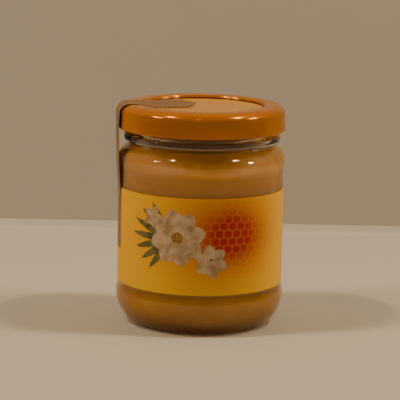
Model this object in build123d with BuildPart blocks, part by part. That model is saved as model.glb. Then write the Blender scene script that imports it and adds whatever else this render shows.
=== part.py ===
"""Honey jar: a 250 g glass jar of set honey with a twist-off lid, a paper label and a paper seal strip.

Frame: millimetres, +Z up, origin on the table at the jar's axis, the label's front towards -Y.
Every round piece is a half section in the XZ plane, turned about Z. An azimuth is counted in
degrees from the front, -Y, towards the right, +X.
"""

import os
from math import cos, degrees, radians, sin, sqrt

from build123d import *

os.makedirs("parts", exist_ok=True)

# ---- glass jar: body ----
body_radius = 34.0  # widest place, the guard ring above the heel
jar_height = 88.6
foot_inset = 7.4  # the ring it stands on lies this far inside the widest place
heel_height = 13.0
panel_bottom = 17.0
panel_recess = 0.75  # depth of the label panel
shoulder_recess = 0.35  # the upper guard ring is this much smaller than the lower one

# ---- glass jar: mouth, with heights counted down from the rim ----
finish_radius = 29.7  # outside of the mouth under the lid
panel_top_drop = 26.6
shoulder_drop = 21.0
groove_drop = 15.7
bead_drop = 12.6
finish_drop = 10.2
groove_depth = 0.8  # the narrowest place, inside the finish
bead_proud = 1.85  # transfer bead, outside the finish
bead_half_height = 0.8
rim_rounding = 0.9

# ---- glass jar: inside ----
wall = 2.8
bore_wall = 2.5  # wall at the narrowest place
base_thickness = 4.5
push_up = 1.8  # rise of the base's middle
inner_heel = 9.0

# ---- interrupted thread on the mouth, and the lid's lugs that hook under it ----
thread_count = 4
thread_arc = 52.0
thread_drop = 6.0
thread_depth = 1.1
thread_half_height = 0.8
lug_arc = 16.0
lug_half_height = 0.55
lug_clearance = 0.3

# ---- honey, a set one that stands level in the neck ----
headspace = 15.6
fill_clearance = 0.05  # to the glass

# ---- lid: tinplate, seated on the rim ----
sheet = 0.4
seat_clearance = 0.15  # the sealing compound's room above the rim
lid_height = 10.1
skirt_room = 3.75  # from the finish to the skirt's outside
curl_radius = 0.6
lid_corner_height = 3.1  # rounded corner between skirt and crest
lid_corner_width = 4.0
crest_width = 2.2
sunk_inset = 5.1  # the sunk panel's edge lies this far inside the finish
sunk_depth = 1.5

# ---- paper label, wrapped round the panel ----
paper = 0.2
adhesive = 0.05
label_foot = 0.3  # above the panel's lower edge
label_head = 6.1  # below the panel's upper edge
label_left = 71.6  # azimuth of the tall part's left edge, on the left
label_right = 112.0
flap_left = 118.0  # the low flap runs further round
flap_height = 13.5
label_corner = 1.2
notch_rounding = 0.3  # where the tall part meets the flap

# ---- paper seal strip, from the flap over the lid ----
strip_width = 12.0
strip_gap = 0.35  # to the label's edge and to the flap
strip_stuck = 16.0  # stuck to the glass for this length
strip_standoff = 0.6  # clear of the lid's skirt and of the shoulder, whichever is wider
strip_bend = 4.6  # radius of the turn over the lid's corner
strip_turn = 9.0  # degrees that it swings to the far side once on the lid
strip_reach = 28.0  # from the bend to the tip
strip_dip = 8.0  # length in which the near edge goes down to the panel
strip_point = 5.0  # length of the pointed end
strip_seat = 0.12  # clearance to the lid under it

# ---- worked out: jar ----
foot_radius = body_radius - foot_inset
panel_radius = body_radius - panel_recess
shoulder_radius = body_radius - shoulder_recess
groove_radius = finish_radius - groove_depth
bead_radius = finish_radius + bead_proud
bore_radius = groove_radius - bore_wall
panel_top = jar_height - panel_top_drop
shoulder_height = jar_height - shoulder_drop
groove_height = jar_height - groove_drop
bead_height = jar_height - bead_drop
thread_height = jar_height - thread_drop
honey_level = jar_height - headspace

# ---- worked out: lid ----
crest_height = jar_height + seat_clearance + sheet
lid_bottom = crest_height - lid_height
skirt_radius = finish_radius + skirt_room
crest_outer = skirt_radius - lid_corner_width
crest_inner = crest_outer - crest_width
sunk_radius = finish_radius - sunk_inset
sunk_height = crest_height - sunk_depth

# ---- worked out: label and strip ----
label_radius = panel_radius + adhesive
label_bottom = panel_bottom + label_foot
label_top = panel_top - label_head
flap_top = label_bottom + flap_height
strip_azimuth = -label_left - degrees((strip_gap + strip_width / 2) / label_radius)


def upright(azimuth):
    """The vertical plane through the axis at an azimuth: its x points outwards, its y up."""
    turn = radians(azimuth)
    return Plane((0, 0, 0), x_dir=(sin(turn), -cos(turn), 0), z_dir=(-cos(turn), -sin(turn), 0))


def cavity_outline(inset):
    """Half outline of the jar's inside up to the rim, drawn a little inside the glass."""
    radius = panel_radius - wall - inset
    bore = bore_radius - inset
    floor = base_thickness + inset
    flat = radius - inner_heel
    floor_edge = (flat, floor)
    side_low = (radius, floor + inner_heel)
    side_high = (radius, panel_top)
    neck = (bore, groove_height - groove_depth)
    Spline((0, floor + push_up), floor_edge, tangents=((1, 0), (1, 0)))
    RadiusArc(floor_edge, side_low, -inner_heel)
    Line(side_low, side_high)
    Spline(side_high, neck, tangents=((0, 1), (0, 1)), tangent_scalars=(1.6, 0.8))
    Polyline(neck, (bore, jar_height), (0, jar_height), (0, floor + push_up))


# ---- glass jar: outside, cavity, rim and thread ----
with BuildPart() as glass_jar:
    with BuildSketch(Plane.XZ) as jar_outside:
        with BuildLine():
            foot = (foot_radius, 0)
            foot_inner = (foot_radius - 2.6, 0)
            heel = (body_radius, heel_height)
            panel_low = (panel_radius, panel_bottom)
            panel_high = (panel_radius, panel_top)
            shoulder = (shoulder_radius, shoulder_height)
            groove = (groove_radius, groove_height)
            bead_low = (bead_radius, bead_height - bead_half_height)
            bead_high = (bead_radius, bead_height + bead_half_height)
            finish_low = (finish_radius, jar_height - finish_drop)
            Spline((0, push_up), foot_inner, tangents=((1, 0), (1, -0.5)))
            Line(foot_inner, foot)
            Spline(foot, heel, tangents=((1, 0.42), (0, 1)), tangent_scalars=(0.9, 1.3))
            Spline(heel, panel_low, tangents=((0, 1), (0, 1)))
            Line(panel_low, panel_high)
            Spline(panel_high, shoulder, tangents=((0, 1), (0, 1)))
            Spline(shoulder, groove, tangents=((0, 1), (-1, 0.3)), tangent_scalars=(1.3, 1.2))
            Spline(groove, bead_low, tangents=((1, 0.75), (0.1, 1)))
            Line(bead_low, bead_high)
            Spline(bead_high, finish_low, tangents=((-0.1, 1), (-0.1, 1)))
            Polyline(finish_low, (finish_radius, jar_height), (0, jar_height), (0, push_up))
        make_face()
    revolve(axis=Axis.Z)
    with BuildSketch(Plane.XZ):
        with BuildLine():
            cavity_outline(0)
        make_face()
    revolve(axis=Axis.Z, mode=Mode.SUBTRACT)
    fillet(glass_jar.faces().sort_by(Axis.Z)[-1].edges(), rim_rounding)
    for index in range(thread_count):
        middle = (finish_radius, thread_height)
        with BuildSketch(upright(index * 360 / thread_count)):
            with Locations(middle):
                Ellipse(thread_depth, thread_half_height)
        revolve(axis=Axis.Z, revolution_arc=thread_arc)
glass_jar.part.label = "glass_jar"

# ---- honey: the cavity, cut level in the neck ----
with BuildPart() as honey:
    with BuildSketch(Plane.XZ):
        with BuildLine():
            cavity_outline(fill_clearance)
        make_face()
    revolve(axis=Axis.Z)
    split(bisect_by=Plane.XY.offset(honey_level), keep=Keep.BOTTOM)
honey.part.label = "honey"

def lid_line(inset):
    """One surface of the lid's sheet, from the middle to the skirt's lower edge."""
    top = crest_height - inset
    side = skirt_radius - inset
    sunk_edge = (sunk_radius - inset / 2, sunk_height - inset)
    crest_start = (crest_inner + inset / 2, top)
    crest_end = (crest_outer, top)
    skirt_high = (side, crest_height - lid_corner_height)
    Line((0, sunk_height - inset), sunk_edge)
    Spline(sunk_edge, crest_start, tangents=((1, 0.8), (1, 0)), tangent_scalars=(0.8, 1.2))
    Line(crest_start, crest_end)
    Spline(crest_end, skirt_high, tangents=((1, 0), (0, -1)), tangent_scalars=(1.2, 1.2))
    Line(skirt_high, (side, lid_bottom + curl_radius))


# ---- lid: one sheet with a sunk panel, a raised ring, a skirt, a rolled edge and four lugs ----
with BuildPart() as lid:
    with BuildSketch(Plane.XZ):
        with BuildLine():
            lid_line(0)
            lid_line(sheet)
            Line((0, sunk_height), (0, sunk_height - sheet))
            Line((skirt_radius, lid_bottom + curl_radius), (skirt_radius - sheet, lid_bottom + curl_radius))
        make_face()
    revolve(axis=Axis.Z)
    with BuildSketch(Plane.XZ):
        with Locations((skirt_radius - curl_radius / 2, lid_bottom + curl_radius)):
            Circle(curl_radius)
    revolve(axis=Axis.Z)
    lug_height = thread_height - thread_half_height - lug_clearance - lug_half_height
    lug_inner = finish_radius + lug_clearance
    lug_length = skirt_radius - sheet / 2 - lug_inner
    for index in range(thread_count):
        with BuildSketch(upright((index + 0.5) * 360 / thread_count)):
            with Locations((lug_inner + lug_length / 2, lug_height)):
                SlotOverall(lug_length, 2 * lug_half_height)
        revolve(axis=Axis.Z, revolution_arc=lug_arc)
lid.part.label = "lid"


# ---- label: a tall part round the front and a low flap that runs on to the left ----
with BuildPart() as label:
    with BuildSketch(upright(-label_left)):
        with Locations((label_radius + paper / 2, (label_bottom + label_top) / 2)):
            Rectangle(paper, label_top - label_bottom)
    revolve(axis=Axis.Z, revolution_arc=label_left + label_right)
    with BuildSketch(upright(-flap_left)):
        with Locations((label_radius + paper / 2, (label_bottom + flap_top) / 2)):
            Rectangle(paper, flap_top - label_bottom)
    revolve(axis=Axis.Z, revolution_arc=flap_left - label_left)
    corner_edges = label.edges().filter_by(lambda edge: edge.length < 2 * paper)
    notch_place = upright(-label_left).from_local_coords((label_radius, flap_top))
    fillet(corner_edges.sort_by_distance(notch_place)[0], notch_rounding)
    corner_edges = label.edges().filter_by(GeomType.LINE).filter_by(lambda edge: edge.length < 2 * paper)
    fillet(corner_edges.filter_by(lambda edge: abs(edge.center().Z - flap_top) > notch_rounding + 0.1),
           label_corner)
label.part.label = "label"


def smooth(share):
    """Goes from 0 to 1 with level ends."""
    share = min(max(share, 0), 1)
    return share * share * (3 - 2 * share)


def strip_stations():
    """Planes across the strip from its foot to its tip, each with the bow of the section there.

    A plane's x points to the strip's far edge and its y out of the jar, then up off the lid.
    """
    outwards = Vector(sin(radians(strip_azimuth)), -cos(radians(strip_azimuth)), 0)
    far = Vector(0, 0, 1).cross(outwards) * -1
    bow = label_radius - sqrt(label_radius**2 - (strip_width / 2) ** 2)
    flat_bow = 0.01
    stuck_out = label_radius + paper / 2
    free_out = max(skirt_radius, shoulder_radius) + strip_standoff + paper / 2
    foot = flap_top + strip_gap
    stuck_end = foot + strip_stuck
    over_crest = crest_height + strip_seat + paper / 2
    bend_start = over_crest - strip_bend

    yield Plane(outwards * stuck_out + Vector(0, 0, foot), x_dir=far, z_dir=(0, 0, 1)), bow
    rise_steps = 8
    for step in range(rise_steps):
        share = step / rise_steps
        height = stuck_end + (bend_start - stuck_end) * share
        out = stuck_out + (free_out - stuck_out) * smooth(share)
        station = Plane(outwards * out + Vector(0, 0, height), x_dir=far, z_dir=(0, 0, 1))
        yield station, bow + (flat_bow - bow) * smooth(2 * share)
    bend_steps = 8
    for step in range(bend_steps + 1):
        turn = radians(90 * step / bend_steps)
        out = free_out - strip_bend * (1 - cos(turn))
        height = bend_start + strip_bend * sin(turn)
        along = Vector(0, 0, 1) * cos(turn) - outwards * sin(turn)
        yield Plane(outwards * out + Vector(0, 0, height), x_dir=far, z_dir=along), flat_bow
    reach_steps = 14
    place = outwards * (free_out - strip_bend)
    stride = strip_reach / reach_steps
    for step in range(1, reach_steps + 1):
        share = step / reach_steps
        swing = strip_turn * smooth(3 * share)
        heading = (outwards * -1).rotate(Axis.Z, swing)
        place = place + heading * stride
        dip = sunk_depth * smooth((share * strip_reach - crest_width) / strip_dip)
        tilt = dip / strip_width
        across = far.rotate(Axis.Z, swing) * cos(tilt) + Vector(0, 0, sin(tilt))
        height = over_crest - dip / 2
        yield Plane(place + Vector(0, 0, height), x_dir=across, z_dir=heading), flat_bow


# ---- seal strip: stuck to the glass above the flap, free past the neck, bent over the lid ----
with BuildPart() as seal_strip:
    half_width = strip_width / 2
    for station, sagitta in strip_stations():
        with BuildSketch(station):
            with BuildLine():
                top = paper / 2
                side_top = top - sagitta
                side_low = -top - sagitta
                outer = ThreePointArc((-half_width, side_top), (0, top), (half_width, side_top))
                inner = ThreePointArc((-half_width, side_low), (0, -top), (half_width, side_low))
                Line(outer @ 0, inner @ 0)
                Line(outer @ 1, inner @ 1)
            make_face()
    loft(ruled=True)
    with BuildSketch(Plane(station.origin, x_dir=station.z_dir, z_dir=(0, 0, 1))):
        for side in (-1, 1):
            with BuildLine():
                Polyline((0, 0), (1, 0), (1, side * 2 * half_width), (-strip_point, side * 2 * half_width),
                         (-strip_point, side * half_width), close=True)
            make_face()
    extrude(amount=strip_bend, both=True, mode=Mode.SUBTRACT)
seal_strip.part.label = "seal_strip"

for piece in (glass_jar, honey, lid, label, seal_strip):
    export_step(piece.part, f"parts/{piece.part.label}.step")
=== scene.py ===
"""Honey jar: the looks of the glass, the set honey, the lid, the printed label and the paper seal."""

from math import cos, pi, radians, sin, sqrt

import bmesh
import bpy
from mathutils import Matrix, Vector


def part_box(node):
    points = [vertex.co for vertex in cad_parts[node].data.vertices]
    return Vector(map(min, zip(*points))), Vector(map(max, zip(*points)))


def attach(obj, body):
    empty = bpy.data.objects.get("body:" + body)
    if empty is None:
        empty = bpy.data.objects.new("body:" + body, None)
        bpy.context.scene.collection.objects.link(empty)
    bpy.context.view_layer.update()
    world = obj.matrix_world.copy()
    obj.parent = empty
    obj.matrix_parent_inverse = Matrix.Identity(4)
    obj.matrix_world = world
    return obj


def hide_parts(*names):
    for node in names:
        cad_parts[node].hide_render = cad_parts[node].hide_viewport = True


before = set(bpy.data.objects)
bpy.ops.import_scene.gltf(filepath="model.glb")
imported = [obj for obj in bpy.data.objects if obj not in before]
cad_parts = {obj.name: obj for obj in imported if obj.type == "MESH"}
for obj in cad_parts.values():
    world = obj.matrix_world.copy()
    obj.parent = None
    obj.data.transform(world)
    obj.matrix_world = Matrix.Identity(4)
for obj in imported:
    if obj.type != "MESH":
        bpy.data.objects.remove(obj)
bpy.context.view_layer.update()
mm = 0.001

# ---- glass jar ----
# One turned shell of clear soda-lime glass: foot, heel, label panel, guard rings, neck and mouth.
# The section is drawn in millimetres from smooth bows and turned about the upright axis.
jar_low, jar_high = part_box("glass_jar")
body_radius = (jar_high[0] - jar_low[0]) / 2 / mm
jar_height = jar_high[2] / mm
panel_radius = body_radius - 0.75
shoulder_radius = body_radius - 0.35
foot_radius = body_radius - 7.4
finish_radius = body_radius - 4.3
groove_radius = finish_radius - 0.8
bead_radius = finish_radius + 1.85
wall = 2.8
bore_radius = groove_radius - 2.5
base_thickness = 4.5
push_up = 1.8
foot_width = 2.6
heel_height = 13.0
inner_heel = 9.0
lip_rounding = 0.9
bead_half = 0.8
panel_bottom = 17.0
panel_top = jar_height - 26.6
shoulder_height = jar_height - 21.0
groove_height = jar_height - 15.7
bead_height = jar_height - 12.6
finish_foot = jar_height - 10.2
bore_foot = groove_height - 0.8
inner_radius = panel_radius - wall


def bow(start, start_way, end, end_way, steps=14):
    """Points on a smooth curve between two section points, leaving and arriving in given ways."""
    start, end = Vector(start), Vector(end)
    reach = (end - start).length
    leave = Vector(start_way).normalized() * reach
    arrive = Vector(end_way).normalized() * reach
    points = []
    for step in range(steps + 1):
        t = step / steps
        point = start * (2 * t**3 - 3 * t**2 + 1) + leave * (t**3 - 2 * t**2 + t)
        point += end * (3 * t**2 - 2 * t**3) + arrive * (t**3 - t**2)
        points.append(point)
    return points


def turned(name, section, turns=192):
    """Turns a closed or axis-to-axis section of (radius, height) points into a smooth solid."""
    shape = bmesh.new()
    line = []
    for point in section:
        place = Vector((max(point[0], 0) * mm, 0, point[1] * mm))
        if not line or (place - line[-1].co).length > 1e-7:
            line.append(shape.verts.new(place))
    edges = [shape.edges.new(pair) for pair in zip(line, line[1:])]
    if min(line[0].co.x, line[-1].co.x) > 0:
        edges.append(shape.edges.new((line[-1], line[0])))
    bmesh.ops.spin(shape, geom=line + edges, cent=(0, 0, 0), axis=(0, 0, 1), angle=2 * pi, steps=turns,
                   use_merge=True)
    bmesh.ops.remove_doubles(shape, verts=shape.verts, dist=1e-7)
    bmesh.ops.recalc_face_normals(shape, faces=shape.faces)
    mesh = bpy.data.meshes.new(name)
    shape.to_mesh(mesh)
    shape.free()
    mesh.shade_smooth()
    piece = bpy.data.objects.new(name, mesh)
    bpy.context.scene.collection.objects.link(piece)
    return piece


def principled(name):
    """A new material with its shader, ready for values and links."""
    material = bpy.data.materials.new(name)
    material.use_nodes = True
    return material, material.node_tree, material.node_tree.nodes["Principled BSDF"]


outside = bow((0, push_up), (1, 0), (foot_radius - foot_width, 0), (1, -0.5))
outside += bow((foot_radius, 0), (1, 0.35), (body_radius, heel_height), (0, 1), 28)
outside += bow((body_radius, heel_height), (0, 1), (panel_radius, panel_bottom), (0, 1))
outside += bow((panel_radius, panel_top), (0, 1), (shoulder_radius, shoulder_height), (0, 1))
outside += bow((shoulder_radius, shoulder_height), (0, 1), (groove_radius, groove_height), (-1, 0.3), 20)
outside += bow((groove_radius, groove_height), (1, 0.75), (bead_radius, bead_height - bead_half), (0.1, 1))
outside += bow((bead_radius, bead_height + bead_half), (-0.1, 1), (finish_radius, finish_foot), (-0.1, 1))
outside += bow((finish_radius, jar_height - lip_rounding), (0, 1),
               (finish_radius - lip_rounding, jar_height), (-1, 0), 6)
inside = bow((bore_radius + lip_rounding, jar_height), (-1, 0),
             (bore_radius, jar_height - lip_rounding), (0, -1), 6)
inside += bow((bore_radius, bore_foot), (0, -1), (inner_radius, panel_top), (0, -1), 20)
inside += bow((inner_radius, base_thickness + inner_heel), (0, -1),
              (inner_radius - inner_heel, base_thickness), (-1, 0), 16)
inside += bow((inner_radius - inner_heel, base_thickness), (-1, 0), (0, base_thickness + push_up), (-1, 0))
glass_jar = turned("clear_jar", outside + inside)

jar_glass, tree, shader = principled("clear_glass")
shader.inputs["Base Color"].default_value = (0.97, 0.985, 0.97, 1)
shader.inputs["Roughness"].default_value = 0.02
shader.inputs["IOR"].default_value = 1.5
shader.inputs["Transmission Weight"].default_value = 1.0
glass_jar.data.materials.append(jar_glass)
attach(glass_jar, "root")
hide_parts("glass_jar")

# ---- honey ----
# Set honey, pale and opaque, that fills the jar up to the neck. It reaches just into the glass,
# so no air shows between them. Fine crystals mottle it, and its top is smooth.
honey_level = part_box("honey")[1][2] / mm
into_glass = 0.35
fill_base = base_thickness - into_glass
fill_radius = inner_radius + into_glass
fill = bow((0, fill_base + push_up), (1, 0), (inner_radius - inner_heel, fill_base), (1, 0))
fill += bow((inner_radius - inner_heel, fill_base), (1, 0),
            (fill_radius, base_thickness + inner_heel), (0, 1), 16)
fill += bow((fill_radius, panel_top), (0, 1), (bore_radius + into_glass, bore_foot), (0, 1), 20)
fill += [(bore_radius + into_glass, honey_level), (0, honey_level)]
honey = turned("set_honey", fill)


def mottled(tree, scale, detail, low, high, low_at, high_at):
    """A colour that drifts between two tones over a piece; gives its socket."""
    place = tree.nodes.new("ShaderNodeTexCoord")
    drift = tree.nodes.new("ShaderNodeTexNoise")
    drift.inputs["Scale"].default_value = scale
    drift.inputs["Detail"].default_value = detail
    tint = tree.nodes.new("ShaderNodeValToRGB")
    for element, position, colour in zip(tint.color_ramp.elements, (low_at, high_at), (low, high)):
        element.position = position
        element.color = (*colour, 1)
    tree.links.new(place.outputs["Object"], drift.inputs["Vector"])
    tree.links.new(drift.outputs["Fac"], tint.inputs["Fac"])
    return tint.outputs["Color"]


set_honey, tree, shader = principled("set_honey")
tone = mottled(tree, 70, 6, (0.62, 0.275, 0.012), (0.72, 0.35, 0.02), 0.35, 0.68)
tree.links.new(tone, shader.inputs["Base Color"])
shader.inputs["Roughness"].default_value = 0.45
shader.inputs["Subsurface Weight"].default_value = 0.08
shader.inputs["Subsurface Radius"].default_value = (0.004, 0.002, 0.0008)
shader.inputs["Subsurface Scale"].default_value = 1.0
honey.data.materials.append(set_honey)
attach(honey, "root")
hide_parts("honey")

# ---- lid ----
# Tinplate with a gold-orange lacquer, pressed to a raised ring and a sunk panel, with a rolled
# lower edge. It is seated on the rim of the glass.
lid_low, lid_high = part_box("lid")
crest_height = lid_high[2] / mm
lid_bottom = lid_low[2] / mm
curl_radius = 0.6
corner_height = 3.1
corner_width = 4.0
crest_width = 2.2
sunk_inset = 5.1
sunk_depth = 1.5
step_size = 0.55
skirt_radius = (lid_high[0] - lid_low[0]) / 2 / mm - curl_radius / 2
sheet = 0.4
crest_outer = skirt_radius - corner_width
crest_inner = crest_outer - crest_width
sunk_radius = finish_radius - sunk_inset
sunk_height = crest_height - sunk_depth


def lid_side(inset):
    """One surface of the lid's sheet, from the middle of the panel to the skirt's lower edge."""
    floor_edge = (sunk_radius - inset / 2, sunk_height - inset)
    step = (sunk_radius + step_size - inset / 2, crest_height - step_size - inset)
    crest = crest_height - inset
    line = [(0, sunk_height - inset), (sunk_radius * 0.6, sunk_height - inset)]
    line += bow(floor_edge, (1, 0.3), step, (0.35, 1), 8)
    line += bow(step, (0.35, 1), (crest_inner + inset / 2, crest), (1, 0), 8)
    line += bow((crest_outer, crest), (1, 0),
                (skirt_radius - inset, crest_height - corner_height), (0, -1), 16)
    return line


skin = lid_side(0)
for step in range(13):
    turn = radians(40 - step * 20)
    skin.append((skirt_radius - curl_radius / 2 + curl_radius * cos(turn),
                 lid_bottom + curl_radius + curl_radius * sin(turn)))
lid = turned("twist_lid", skin + lid_side(sheet)[::-1])


def embossed(tree, shader, scale, detail, strength):
    """A fine relief over a whole piece, a tenth of a millimetre deep at full strength."""
    place = tree.nodes.new("ShaderNodeTexCoord")
    grain = tree.nodes.new("ShaderNodeTexNoise")
    grain.inputs["Scale"].default_value = scale
    grain.inputs["Detail"].default_value = detail
    relief = tree.nodes.new("ShaderNodeBump")
    relief.inputs["Strength"].default_value = strength
    relief.inputs["Distance"].default_value = 0.0001
    tree.links.new(place.outputs["Object"], grain.inputs["Vector"])
    tree.links.new(grain.outputs["Fac"], relief.inputs["Height"])
    tree.links.new(relief.outputs["Normal"], shader.inputs["Normal"])


gold_lacquer, tree, shader = principled("gold_lacquer")
tone = mottled(tree, 38, 3, (0.42, 0.135, 0.0008), (0.48, 0.168, 0.001), 0.3, 0.7)
# A paler yellow disc is painted on the sunk panel as a painted reflection of the bright wall, with a dark
# line round it at the step as painted shade.
panel_light_span = 40.0
place = tree.nodes.new("ShaderNodeTexCoord")
across = tree.nodes.new("ShaderNodeVectorMath")
across.operation = "MULTIPLY"
across.inputs[1].default_value = (1 / (panel_light_span * mm), 1 / (panel_light_span * mm), 0)
reach = tree.nodes.new("ShaderNodeVectorMath")
reach.operation = "LENGTH"
# Painted light: the pale inner colour is a painted reflection, and the dark outer colour is painted shade at
# the step.
painted_panel_light_and_step_shade = tree.nodes.new("ShaderNodeValToRGB")
painted_panel_light_and_step_shade.color_ramp.elements[0].position = (sunk_radius - 0.35) / panel_light_span
painted_panel_light_and_step_shade.color_ramp.elements[0].color = (0.66, 0.33, 0.012, 1)
painted_panel_light_and_step_shade.color_ramp.elements[1].position = (sunk_radius + 0.1) / panel_light_span
painted_panel_light_and_step_shade.color_ramp.elements[1].color = (0.12, 0.03, 0.001, 1)
in_painted_panel_light = tree.nodes.new("ShaderNodeMath")
in_painted_panel_light.operation = "LESS_THAN"
in_painted_panel_light.inputs[1].default_value = (sunk_radius + 0.35) / panel_light_span
lacquer_and_painted_panel_light = tree.nodes.new("ShaderNodeMix")
lacquer_and_painted_panel_light.data_type = "RGBA"
tree.links.new(place.outputs["Object"], across.inputs[0])
tree.links.new(across.outputs["Vector"], reach.inputs[0])
tree.links.new(reach.outputs["Value"], painted_panel_light_and_step_shade.inputs["Fac"])
tree.links.new(reach.outputs["Value"], in_painted_panel_light.inputs[0])
tree.links.new(in_painted_panel_light.outputs["Value"], lacquer_and_painted_panel_light.inputs["Factor"])
tree.links.new(tone, lacquer_and_painted_panel_light.inputs["A"])
tree.links.new(painted_panel_light_and_step_shade.outputs["Color"], lacquer_and_painted_panel_light.inputs["B"])
tree.links.new(lacquer_and_painted_panel_light.outputs["Result"], shader.inputs["Base Color"])
embossed(tree, shader, 900, 2, 0.04)
shader.inputs["Metallic"].default_value = 0.3
shader.inputs["Roughness"].default_value = 0.16
shader.inputs["Specular IOR Level"].default_value = 0.3
lid.data.materials.append(gold_lacquer)
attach(lid, "root")
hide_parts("lid")

# ---- label ----
# One die-cut sheet of coated paper stuck round the panel: a tall part in front and a low flap
# that runs on round the left. The print is a yellow field that warms to a red comb on the right.
label_radius = panel_radius + 0.05
paper = 0.2
label_low, label_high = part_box("label")
label_bottom = label_low[2] / mm
label_top = label_high[2] / mm
label_left = -71.6
label_right = 112.0
flap_left = -118.0
flap_top = label_bottom + 13.5  # height of the low flap
corner_radius = 1.2


def along(azimuth):
    """Length along the label's face, in millimetres from its front, for an azimuth in degrees."""
    return radians(azimuth) * label_radius


def on_label(length, height, proud=0.0):
    """A place on the label's face, a little proud of it, from a length and a height."""
    turn = length / label_radius
    radius = label_radius + paper + proud
    return Vector((radius * sin(turn) * mm, -radius * cos(turn) * mm, height * mm))


def rounded(corners, radius):
    """An outline with its corners rounded, as points in order."""
    points = []
    for index, corner in enumerate(corners):
        here, before = Vector(corner), Vector(corners[index - 1])
        after = Vector(corners[(index + 1) % len(corners)])
        start = here + (before - here).normalized() * radius
        end = here + (after - here).normalized() * radius
        for step in range(6):
            t = step / 5
            points.append(start * (1 - t) ** 2 + here * 2 * t * (1 - t) + end * t**2)
    return points


def wrapped(name, outline, proud, thick):
    """A sheet cut to a flat outline, wrapped on the label's face, with its lengths kept as UVs."""
    shape = bmesh.new()
    shape.faces.new([shape.verts.new((point[0], point[1], 0)) for point in outline])
    lengths = [point[0] for point in outline]
    cut = 1.0  # width of the flat strips that follow the jar's round
    place = min(lengths) + cut
    while place < max(lengths) - 0.1 * cut:
        everything = shape.verts[:] + shape.edges[:] + shape.faces[:]
        bmesh.ops.bisect_plane(shape, geom=everything, plane_co=(place, 0, 0), plane_no=(1, 0, 0))
        place += cut
    faces = shape.faces[:]
    if thick:
        back = bmesh.ops.extrude_face_region(shape, geom=faces)
        for vertex in [item for item in back["geom"] if isinstance(item, bmesh.types.BMVert)]:
            vertex.co.z = 1
    layer = shape.loops.layers.uv.new("print")
    for face in shape.faces:
        for loop in face.loops:
            loop[layer].uv = (loop.vert.co.x / 100 + 1, loop.vert.co.y / 100)
    for vertex in shape.verts:
        outer = proud if vertex.co.z > 0.5 or not thick else proud - thick
        vertex.co = on_label(vertex.co.x, vertex.co.y, outer)
    bmesh.ops.recalc_face_normals(shape, faces=shape.faces)
    mesh = bpy.data.meshes.new(name)
    shape.to_mesh(mesh)
    shape.free()
    piece = bpy.data.objects.new(name, mesh)
    bpy.context.scene.collection.objects.link(piece)
    return piece


label = wrapped("label_sheet", rounded([(along(flap_left), label_bottom), (along(label_right), label_bottom),
                                        (along(label_right), label_top), (along(label_left), label_top),
                                        (along(label_left), flap_top), (along(flap_left), flap_top)],
                                       corner_radius), 0.0, paper)


def maths(tree, kind, first, second=None, third=None):
    """A Math node fed by sockets or numbers; gives its output."""
    node = tree.nodes.new("ShaderNodeMath")
    node.operation = kind
    for socket, value in zip(node.inputs, (first, second, third)):
        if isinstance(value, (int, float)):
            socket.default_value = value
        elif value is not None:
            tree.links.new(value, socket)
    return node.outputs[0]


def glow(tree, across, up, middle, spread, strength):
    """A soft round field of colour on the print; gives its strength from 0 up."""
    x = maths(tree, "DIVIDE", maths(tree, "SUBTRACT", across, middle[0]), spread[0])
    y = maths(tree, "DIVIDE", maths(tree, "SUBTRACT", up, middle[1]), spread[1])
    square = maths(tree, "ADD", maths(tree, "MULTIPLY", x, x), maths(tree, "MULTIPLY", y, y))
    return maths(tree, "MULTIPLY", maths(tree, "EXPONENT", maths(tree, "MULTIPLY", square, -1.0)), strength)


def blended(tree, share, below, above):
    """Mixes a colour over another by a share; gives the colour."""
    node = tree.nodes.new("ShaderNodeMix")
    node.data_type = "RGBA"
    node.clamp_factor = True
    tree.links.new(share, node.inputs["Factor"])
    for socket, value in ((node.inputs[6], below), (node.inputs[7], above)):
        if isinstance(value, tuple):
            socket.default_value = value
        else:
            tree.links.new(value, socket)
    return node.outputs[2]


printed, tree, shader = principled("printed_paper")
uv = tree.nodes.new("ShaderNodeUVMap")
uv.uv_map = "print"
parts = tree.nodes.new("ShaderNodeSeparateXYZ")
tree.links.new(uv.outputs["UV"], parts.inputs["Vector"])
across = maths(tree, "MULTIPLY", maths(tree, "SUBTRACT", parts.outputs["X"], 1.0), 100.0)
up = maths(tree, "MULTIPLY", parts.outputs["Y"], 100.0)

# The comb: the nearest centre of two staggered grids of cells gives each cell's distance.
cell = 1.75


def cell_edge(shift):
    """Distance from the centre of a cell, in a grid of cells shifted by half a step or not."""
    x = maths(tree, "PINGPONG", maths(tree, "ADD", across, 400 + shift * cell), cell)
    y = maths(tree, "PINGPONG", maths(tree, "ADD", up, 40 + shift * cell * sqrt(3)), cell * sqrt(3))
    slant = maths(tree, "ADD", maths(tree, "MULTIPLY", x, 0.5), maths(tree, "MULTIPLY", y, sqrt(3) / 2))
    return maths(tree, "MAXIMUM", x, slant)


comb = maths(tree, "MINIMUM", cell_edge(0), cell_edge(1))
comb_line = maths(tree, "MULTIPLY", maths(tree, "SUBTRACT", comb, cell * 0.83), 3.0)
comb_line = maths(tree, "MAXIMUM", maths(tree, "SMOOTH_MIN", comb_line, 1.0, 0.1), 0.0)
warm = glow(tree, across, up, (4, 40), (24, 16), 0.95)
red = glow(tree, across, up, (13, 41), (14, 12), 1.3)
pale = glow(tree, across, up, (44, 36), (16, 30), 0.8)
colour = blended(tree, pale, (0.74, 0.42, 0.008, 1), (0.80, 0.48, 0.05, 1))
colour = blended(tree, warm, colour, (0.62, 0.22, 0.01, 1))
colour = blended(tree, red, colour, (0.36, 0.02, 0.005, 1))
lines = maths(tree, "MULTIPLY", comb_line, maths(tree, "ADD", maths(tree, "MULTIPLY", red, 0.5), 0.12))
colour = blended(tree, lines, colour, (0.75, 0.30, 0.06, 1))
tree.links.new(colour, shader.inputs["Base Color"])
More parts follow.
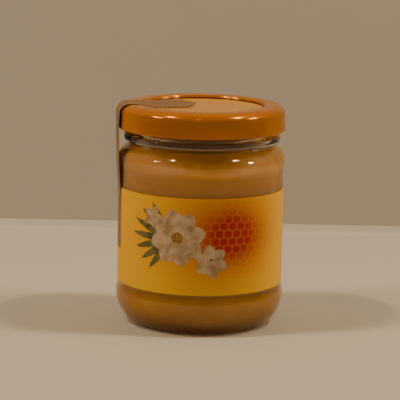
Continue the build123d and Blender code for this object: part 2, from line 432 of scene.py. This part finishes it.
embossed(tree, shader, 1400, 2, 0.08)
shader.inputs["Roughness"].default_value = 0.5
shader.inputs["Specular IOR Level"].default_value = 0.1
label.data.materials.append(printed)
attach(label, "root")
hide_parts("label")

# ---- blossoms and leaves on the label ----
# A generic printed posy of three blossoms: thin shapes of ink on the label's face, with leaves
# lowest, then petals, then hearts.
ink = 0.012
overlap_lift = 0.0012  # each shape lies this much above the one before


def leaf_outline(root, way, length, width):
    """Outline of a pointed leaf from its root, in a way given in degrees."""
    ahead = Vector((cos(radians(way)), sin(radians(way))))
    side = Vector((-ahead.y, ahead.x))
    points = []
    for step in range(11):
        t = step / 10
        points.append(Vector(root) + ahead * length * t + side * width / 2 * sin(pi * t) ** 0.65)
    for step in range(9, 0, -1):
        t = step / 10
        points.append(Vector(root) + ahead * length * t - side * width / 2 * sin(pi * t) ** 0.65)
    return points


def inked(name, colour_low, colour_high, scale):
    """Printed ink that varies softly between two colours."""
    material, tree, shader = principled(name)
    tree.links.new(mottled(tree, scale, 4, colour_low, colour_high, 0.35, 0.65), shader.inputs["Base Color"])
    shader.inputs["Roughness"].default_value = 0.5
    return material


leaf_ink = inked("leaf_ink", (0.05, 0.05, 0.012), (0.16, 0.15, 0.05), 420)
petal_ink = inked("petal_ink", (0.30, 0.19, 0.11), (0.54, 0.41, 0.28), 260)
heart_ink = inked("heart_ink", (0.10, 0.04, 0.008), (0.45, 0.24, 0.03), 1500)
posy = {"leaves": [], "petals": [], "hearts": []}
for way in (122, 140, 158, 176, 194, 212, 230):
    posy["leaves"].append((leaf_outline((-11, 39), way, 19.5 - abs(way - 165) * 0.06, 2.8), leaf_ink))
blossoms = (((-9, 40), 11.6, 8, 12), ((4.5, 31), 7.0, 6, 40), ((-19.5, 47.5), 4.6, 5, 70))
for middle, size, count, start in blossoms:
    for index in range(count):
        way = start + index * 360 / count
        posy["petals"].append((leaf_outline(middle, way, size, size * 0.7), petal_ink))
    ring = [Vector(middle) + Vector((cos(a * pi / 10), sin(a * pi / 10))) * size * 0.2 for a in range(20)]
    posy["hearts"].append((ring, heart_ink))
for layer, (group, shapes) in enumerate(posy.items()):
    for index, (outline, material) in enumerate(shapes):
        piece = wrapped(f"posy_{group}_{index}", outline, ink * (layer + 1) + index * overlap_lift, 0)
        piece.data.materials.append(material)
        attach(piece, "root")

# ---- seal strip ----
# Brown paper tape with a soft sheen, stuck to the glass, bent over the lid and pointed at its end.
# Its shape is the CAD solid's, so only the material changes here.
seal_strip = bpy.data.objects["seal_strip"]
tape, tree, shader = principled("brown_paper")
tone = mottled(tree, 500, 5, (0.155, 0.08, 0.03), (0.225, 0.125, 0.052), 0.3, 0.7)
tree.links.new(tone, shader.inputs["Base Color"])
embossed(tree, shader, 500, 5, 0.15)
shader.inputs["Roughness"].default_value = 0.42
seal_strip.data.materials.clear()
seal_strip.data.materials.append(tape)

# ---- floor and back ----
# A pale table that meets a wall behind the jar in a small curve. From behind, the camera
# sees through the wall to the jar, and light still meets it.
sweep = bmesh.new()
half_width, front, back, rise = 3.0, -2.0, 0.18, 1.6
profile = [(front, 0.0), (back, 0.0), (back + 0.004, 0.001), (back + 0.006, 0.004), (back + 0.006, rise)]
rows = [[sweep.verts.new((side, y, z)) for y, z in profile] for side in (-half_width, half_width)]
for index in range(len(profile) - 1):
    sweep.faces.new((rows[0][index], rows[1][index], rows[1][index + 1], rows[0][index + 1]))
floor_mesh = bpy.data.meshes.new("floor")
sweep.to_mesh(floor_mesh)
sweep.free()
floor = bpy.data.objects.new("floor", floor_mesh)
bpy.context.scene.collection.objects.link(floor)
plaster, tree, shader = principled("pale_floor")
shader.inputs["Base Color"].default_value = (0.465, 0.47, 0.475, 1)
shader.inputs["Roughness"].default_value = 0.7
face = tree.nodes.new("ShaderNodeNewGeometry")
ray = tree.nodes.new("ShaderNodeLightPath")
seen_from_behind = tree.nodes.new("ShaderNodeMath")
seen_from_behind.operation = "MULTIPLY"
clear = tree.nodes.new("ShaderNodeBsdfTransparent")
wall_mix = tree.nodes.new("ShaderNodeMixShader")
tree.links.new(face.outputs["Backfacing"], seen_from_behind.inputs[0])
tree.links.new(ray.outputs["Is Camera Ray"], seen_from_behind.inputs[1])
tree.links.new(seen_from_behind.outputs["Value"], wall_mix.inputs["Fac"])
tree.links.new(shader.outputs["BSDF"], wall_mix.inputs[1])
tree.links.new(clear.outputs["BSDF"], wall_mix.inputs[2])
tree.links.new(wall_mix.outputs["Shader"], tree.nodes["Material Output"].inputs["Surface"])
floor_mesh.materials.append(plaster)

# ---- lights ----
# Two warm lamps on the left, two on the right and two small ones in front, in a dim warm room.
# Each is an azimuth and height in degrees, then a distance in metres, a power and a size.
aim = Vector((0, 0, 0.045))
for name, azimuth, height, distance, power, size in (("lamp_left", -72, 36, 1.5, 9.0, 0.12),
                                                      ("lamp_left_high", -68, 60, 1.5, 8.7, 0.1),
                                                      ("lamp_right", 84, 36, 1.5, 9.0, 0.12),
                                                      ("lamp_right_high", 82, 60, 1.5, 8.7, 0.1),
                                                      ("lamp_front", -8, 50, 2.2, 0.5, 0.05),
                                                      ("lamp_front_low", -4, 36, 2.2, 0.5, 0.05)):
    lamp = bpy.data.lights.new(name, "AREA")
    lamp.shape = "RECTANGLE"
    lamp.size = size * 2
    lamp.size_y = size * 0.6
    lamp.energy = power
    lamp.color = (1.0, 0.72, 0.42)
    holder = bpy.data.objects.new(name, lamp)
    flat = cos(radians(height)) * distance
    holder.location = aim + Vector((sin(radians(azimuth)) * flat, -cos(radians(azimuth)) * flat,
                                    sin(radians(height)) * distance))
    holder.rotation_euler = (aim - holder.location).to_track_quat("-Z", "Y").to_euler()
    bpy.context.scene.collection.objects.link(holder)
world = bpy.data.worlds.new("room")
world.use_nodes = True
world.node_tree.nodes["Background"].inputs["Color"].default_value = (1.0, 0.74, 0.46, 1)
world.node_tree.nodes["Background"].inputs["Strength"].default_value = 0.055
bpy.context.scene.world = world

# ---- camera ----
# A long lens in front of the jar and a little above it, rolled by about a degree. Its shift
# places the jar in the frame.
elevation = radians(10.82)
roll = radians(1.17)
frame_width = 400
distance = 0.835
target = Vector((0, 0, 0.0434))
camera_data = bpy.data.cameras.new("camera")
camera_data.lens = 185.0
camera_data.sensor_width = 36.0
camera_data.shift_x = -0.35 / frame_width
camera_data.shift_y = 14.66 / frame_width
camera = bpy.data.objects.new("camera", camera_data)
camera.matrix_world = (Matrix.Translation(target + Vector((0, -cos(elevation), sin(elevation))) * distance)
                       @ Matrix.Rotation(pi / 2 - elevation, 4, "X") @ Matrix.Rotation(roll, 4, "Z"))
bpy.context.scene.collection.objects.link(camera)
bpy.context.scene.camera = camera
